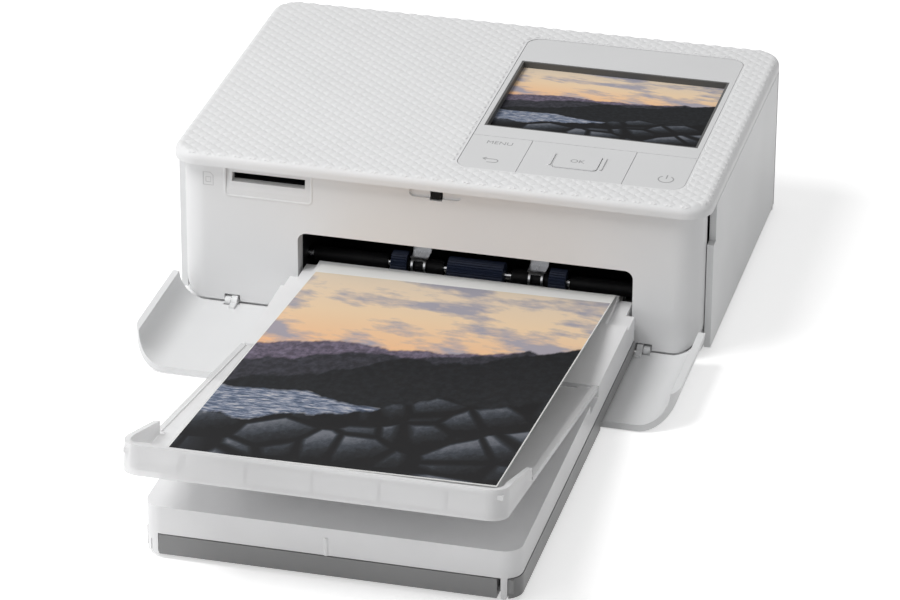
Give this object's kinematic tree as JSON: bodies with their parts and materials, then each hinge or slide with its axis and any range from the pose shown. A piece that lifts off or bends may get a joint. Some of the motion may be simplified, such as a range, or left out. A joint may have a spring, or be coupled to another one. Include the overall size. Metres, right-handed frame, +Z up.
{
  "type": "compact photo printer",
  "caption": "Compact dye-transfer photo printer with a slide-in paper cassette, hinged output tray, folding front door, side ribbon door, colour screen and key row.",
  "frame": {"origin": "centre of the whole outline in plan, on the table under the feet", "axes": "+X to the right, +Y to the rear of the printer, +Z up"},
  "size_m": [0.1822, 0.317, 0.0576],
  "materials": {
    "body_white": "fine matte grain",
    "side_white": "satin",
    "black_plastic": "satin",
    "lcd": "smooth gloss",
    "foot_rubber": "matte",
    "circuit_board": "satin",
    "sheet_steel": "plain rolled",
    "heat_sink_metal": "satin",
    "head_ceramic": "smooth",
    "motor_case": "satin",
    "gear_plastic": "satin",
    "shaft_steel": "ground",
    "roller_rubber": "fluted, matte",
    "platen_rubber": "matte",
    "cartridge_plastic": "satin",
    "ribbon": "thin film",
    "cassette_grey": "satin",
    "cassette_frost": "frosted, translucent",
    "blank_paper": "smooth",
    "print_paper": "glossy photo paper"
  },
  "bodies": {
    "printer": {"bottom_case": "side_white", "rubber_feet": "foot_rubber", "front_panel": "body_white", "top_cover": "body_white", "left_side_cover": "side_white", "rear_panel": "side_white", "door_catch": "black_plastic", "control_panel": "body_white", "screen_gasket": "black_plastic", "screen_module": "lcd", "key_board": "circuit_board", "main_board": "circuit_board", "card_socket": "black_plastic", "power_jack": "black_plastic", "paper_guide": "black_plastic", "rear_guide": "black_plastic", "left_chassis": "sheet_steel", "right_chassis": "sheet_steel", "gear_plate": "sheet_steel", "head_bracket": "sheet_steel", "heat_sink": "heat_sink_metal", "thermal_head": "head_ceramic", "cartridge_bay": "side_white", "drive_motor": "motor_case", "shaft_clips": "sheet_steel", "ribbon_case": "cartridge_plastic", "ribbon_film": "ribbon"},
    "front_door": {"front_door": "side_white"},
    "ink_door": {"ink_door": "side_white"},
    "menu_key": {"menu_key": "body_white"},
    "select_key": {"select_key": "body_white"},
    "ok_button": {"ok_button": "body_white"},
    "power_key": {"power_key": "body_white"},
    "cassette": {"cassette_base": "cassette_grey", "cassette_cover": "cassette_frost", "lift_plate": "cassette_grey", "paper_stack": "blank_paper"},
    "output_tray": {"output_tray": "cassette_frost"},
    "photo_print": {"photo_print": "print_paper"},
    "feed_shaft": {"feed_shaft": "shaft_steel", "feed_rollers": "roller_rubber", "shaft_sleeves": "black_plastic"},
    "idler_gear": {"idler_gear": "gear_plastic"},
    "second_idler": {"second_idler": "gear_plastic"},
    "platen_roller": {"platen_roller": "platen_rubber"},
    "capstan_roller": {"capstan_roller": "shaft_steel"},
    "pinch_roller": {"pinch_roller": "platen_rubber"},
    "motor_pinion": {"motor_pinion": "gear_plastic"},
    "supply_spool": {"supply_spool": "ribbon"},
    "take_up_spool": {"take_up_spool": "ribbon"}
  },
  "joints": [
    {"name": "front_door_hinge", "type": "hinge", "parent": "printer", "child": "front_door", "pos_m": [0, 0.02814, 0.0026], "axis": [-1, 0, 0], "range_deg": [0, 0.4]},
    {"name": "ink_door_hinge", "type": "hinge", "parent": "printer", "child": "ink_door", "pos_m": [0.089, 0.14854, 0.0278], "axis": [0, 0, 1], "range_deg": [0, 95]},
    {"name": "menu_key_press", "type": "slide", "parent": "printer", "child": "menu_key", "axis": [0, 0, -1], "range_m": [0, 0.0007], "stiffness_N_per_m": 1200},
    {"name": "select_key_press", "type": "slide", "parent": "printer", "child": "select_key", "axis": [0, 0, -1], "range_m": [0, 0.0007], "stiffness_N_per_m": 1200},
    {"name": "ok_button_press", "type": "slide", "parent": "printer", "child": "ok_button", "axis": [0, 0, -1], "range_m": [0, 0.0007], "stiffness_N_per_m": 1200},
    {"name": "power_key_press", "type": "slide", "parent": "printer", "child": "power_key", "axis": [0, 0, -1], "range_m": [0, 0.0007], "stiffness_N_per_m": 1200},
    {"name": "cassette_slide", "type": "slide", "parent": "printer", "child": "cassette", "axis": [0, -1, 0], "range_m": [0, 0.085]},
    {"name": "tray_hinge", "type": "hinge", "parent": "cassette", "child": "output_tray", "pos_m": [0.0094, -0.03246, 0.0166], "axis": [1, 0, 0], "range_deg": [0, 9.5]},
    {"name": "print_lift", "type": "hinge", "parent": "cassette", "child": "photo_print", "pos_m": [0.0098, 0.03234, 0.0187], "axis": [0.9997, 0.0232, 0], "range_deg": [0, 6.22]},
    {"name": "capstan_spin", "type": "hinge", "parent": "printer", "child": "capstan_roller", "pos_m": [0.0094, 0.11704, 0.0158], "axis": [1, 0, 0], "continuous": true},
    {"name": "feed_spin", "type": "hinge", "parent": "printer", "child": "feed_shaft", "pos_m": [0.0094, 0.04504, 0.0158], "axis": [1, 0, 0], "continuous": true},
    {"name": "idler_spin", "type": "hinge", "parent": "printer", "child": "idler_gear", "pos_m": [-0.05485, 0.06904, 0.0158], "axis": [1, 0, 0], "continuous": true},
    {"name": "second_idler_spin", "type": "hinge", "parent": "printer", "child": "second_idler", "pos_m": [-0.05485, 0.09304, 0.0158], "axis": [1, 0, 0], "continuous": true},
    {"name": "platen_spin", "type": "hinge", "parent": "printer", "child": "platen_roller", "pos_m": [0.0094, 0.09304, 0.0158], "axis": [1, 0, 0], "continuous": true},
    {"name": "pinch_spin", "type": "hinge", "parent": "printer", "child": "pinch_roller", "pos_m": [0.0094, 0.11704, 0.0246], "axis": [1, 0, 0], "continuous": true},
    {"name": "pinion_spin", "type": "hinge", "parent": "printer", "child": "motor_pinion", "pos_m": [-0.05485, 0.11704, 0.035], "axis": [1, 0, 0], "continuous": true},
    {"name": "supply_spin", "type": "hinge", "parent": "printer", "child": "supply_spool", "pos_m": [0.0094, 0.07404, 0.0375], "axis": [1, 0, 0], "continuous": true},
    {"name": "take_up_spin", "type": "hinge", "parent": "printer", "child": "take_up_spool", "pos_m": [0.0094, 0.11004, 0.0385], "axis": [1, 0, 0], "continuous": true}
  ],
  "couplings": [
    {"joint": "second_idler_spin", "follows": "capstan_spin", "ratio": -1},
    {"joint": "idler_spin", "follows": "capstan_spin", "ratio": 1},
    {"joint": "feed_spin", "follows": "capstan_spin", "ratio": -1},
    {"joint": "pinion_spin", "follows": "capstan_spin", "ratio": -1.6667},
    {"joint": "pinch_spin", "follows": "capstan_spin", "ratio": -1.8333},
    {"joint": "print_lift", "follows": "tray_hinge", "ratio": 0.654}
  ]
}
